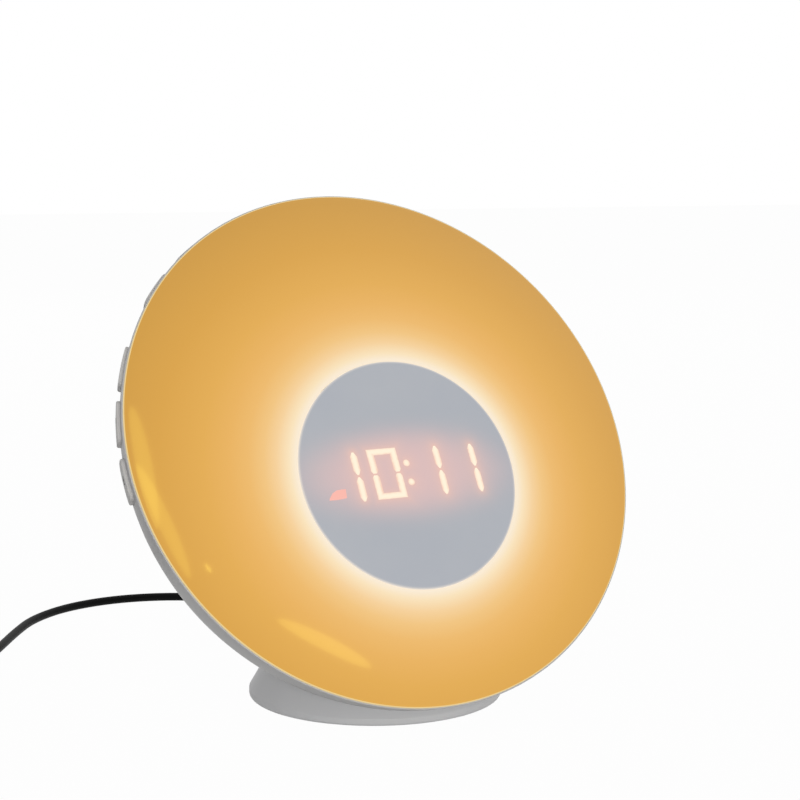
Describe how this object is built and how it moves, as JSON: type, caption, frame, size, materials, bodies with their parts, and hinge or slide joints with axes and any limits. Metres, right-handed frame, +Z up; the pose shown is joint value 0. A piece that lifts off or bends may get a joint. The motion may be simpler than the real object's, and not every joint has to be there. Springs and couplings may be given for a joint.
{
  "type": "sunrise alarm clock",
  "caption": "Table alarm clock with a round lit dome, a round display window, side buttons, a leaning bowl-shaped shell on a cone foot, and a coiled low-voltage cord with its wall adapter.",
  "frame": {"origin": "middle of the underside of the foot's rubber pad, on the table", "axes": "+Z up, -Y towards the person facing the clock, +X to the clock's right as seen from the front"},
  "size_m": [0.2598, 0.2374, 0.1665],
  "materials": {
    "opal_dome": "glossy translucent opal acrylic, lit amber from behind",
    "display_window": "milky grey window",
    "shell_plastic": "light warm grey moulded plastic, fine satin",
    "button_plastic": "light warm grey moulded plastic",
    "white_plastic": "white reflector plastic",
    "digit_light": "lit digit segments",
    "lamp_chip": "lamp packages with yellow phosphor",
    "circuit_board": "green solder mask",
    "black_plastic": "black moulded plastic",
    "speaker_paper": "black paper cone",
    "steel": "plated steel",
    "copper": "copper foil",
    "rubber": "soft black rubber",
    "cord_jacket": "black vinyl cord jacket"
  },
  "bodies": {
    "root": {"adapter_prongs": "steel", "adapter_relief": "black_plastic", "case_screws": "steel", "cell_contacts": "steel", "coin_cell": "steel", "cord_coil": "cord_jacket", "cord_plug": "black_plastic", "cord_tail": "cord_jacket", "cord_tie": "cord_jacket", "cord_tube": "cord_jacket", "dc_jack": "black_plastic", "digit_block": "white_plastic", "digit_segments": "digit_light", "display_board": "circuit_board", "display_header": "black_plastic", "display_tube": "white_plastic", "display_window": "display_window", "foot_pad": "rubber", "foot_plate": "shell_plastic", "foot_plate_screws": "steel", "foot_shell": "shell_plastic", "front_diffuser": "opal_dome", "head_screws": "steel", "key_board_screws": "steel", "lamp_board": "circuit_board", "lamp_leds": "lamp_chip", "left_key_board": "circuit_board", "left_switches": "black_plastic", "light_tray": "white_plastic", "main_board": "circuit_board", "main_board_parts": "black_plastic", "main_board_screws": "steel", "plug_barrel": "steel", "plug_relief": "black_plastic", "rear_housing": "shell_plastic", "right_key_board": "circuit_board", "right_switches": "black_plastic", "speaker_cone": "speaker_paper", "speaker_frame": "black_plastic", "speaker_magnet": "steel", "touch_strip": "copper", "usb_socket": "steel", "usb_tongue": "black_plastic", "wall_adapter": "black_plastic"},
    "left_button_1": {"left_button_1": "button_plastic"},
    "left_button_2": {"left_button_2": "button_plastic"},
    "left_button_3": {"left_button_3": "button_plastic"},
    "left_button_4": {"left_button_4": "button_plastic"},
    "left_button_5": {"left_button_5": "button_plastic"},
    "right_button_1": {"right_button_1": "button_plastic"},
    "right_button_2": {"right_button_2": "button_plastic"},
    "right_button_3": {"right_button_3": "button_plastic"},
    "right_button_4": {"right_button_4": "button_plastic"},
    "right_button_5": {"right_button_5": "button_plastic"},
    "battery_door": {"battery_door": "shell_plastic"}
  },
  "joints": [
    {"name": "left_button_1_press", "type": "slide", "parent": "root", "child": "left_button_1", "axis": [0.5906, -0.3875, -0.7078], "range_m": [0, 0.0007], "stiffness_N_per_m": 1500},
    {"name": "left_button_2_press", "type": "slide", "parent": "root", "child": "left_button_2", "axis": [0.7501, -0.3176, -0.5801], "range_m": [0, 0.0007], "stiffness_N_per_m": 1500},
    {"name": "left_button_3_press", "type": "slide", "parent": "root", "child": "left_button_3", "axis": [0.9291, -0.1776, -0.3243], "range_m": [0, 0.0007], "stiffness_N_per_m": 1500},
    {"name": "left_button_4_press", "type": "slide", "parent": "root", "child": "left_button_4", "axis": [0.9869, -0.0776, -0.1418], "range_m": [0, 0.0007], "stiffness_N_per_m": 1500},
    {"name": "left_button_5_press", "type": "slide", "parent": "root", "child": "left_button_5", "axis": [0.9985, 0.026, 0.0474], "range_m": [0, 0.0007], "stiffness_N_per_m": 1500},
    {"name": "right_button_1_press", "type": "slide", "parent": "root", "child": "right_button_1", "axis": [-0.5906, -0.3875, -0.7078], "range_m": [0, 0.0007], "stiffness_N_per_m": 1500},
    {"name": "right_button_2_press", "type": "slide", "parent": "root", "child": "right_button_2", "axis": [-0.7501, -0.3176, -0.5801], "range_m": [0, 0.0007], "stiffness_N_per_m": 1500},
    {"name": "right_button_3_press", "type": "slide", "parent": "root", "child": "right_button_3", "axis": [-0.9291, -0.1776, -0.3243], "range_m": [0, 0.0007], "stiffness_N_per_m": 1500},
    {"name": "right_button_4_press", "type": "slide", "parent": "root", "child": "right_button_4", "axis": [-0.9869, -0.0776, -0.1418], "range_m": [0, 0.0007], "stiffness_N_per_m": 1500},
    {"name": "right_button_5_press", "type": "slide", "parent": "root", "child": "right_button_5", "axis": [-0.9985, 0.026, 0.0474], "range_m": [0, 0.0007], "stiffness_N_per_m": 1500},
    {"name": "battery_door_lift", "type": "slide", "parent": "root", "child": "battery_door", "axis": [0, 0.8771, -0.4802], "range_m": [0, 0.01]}
  ]
}
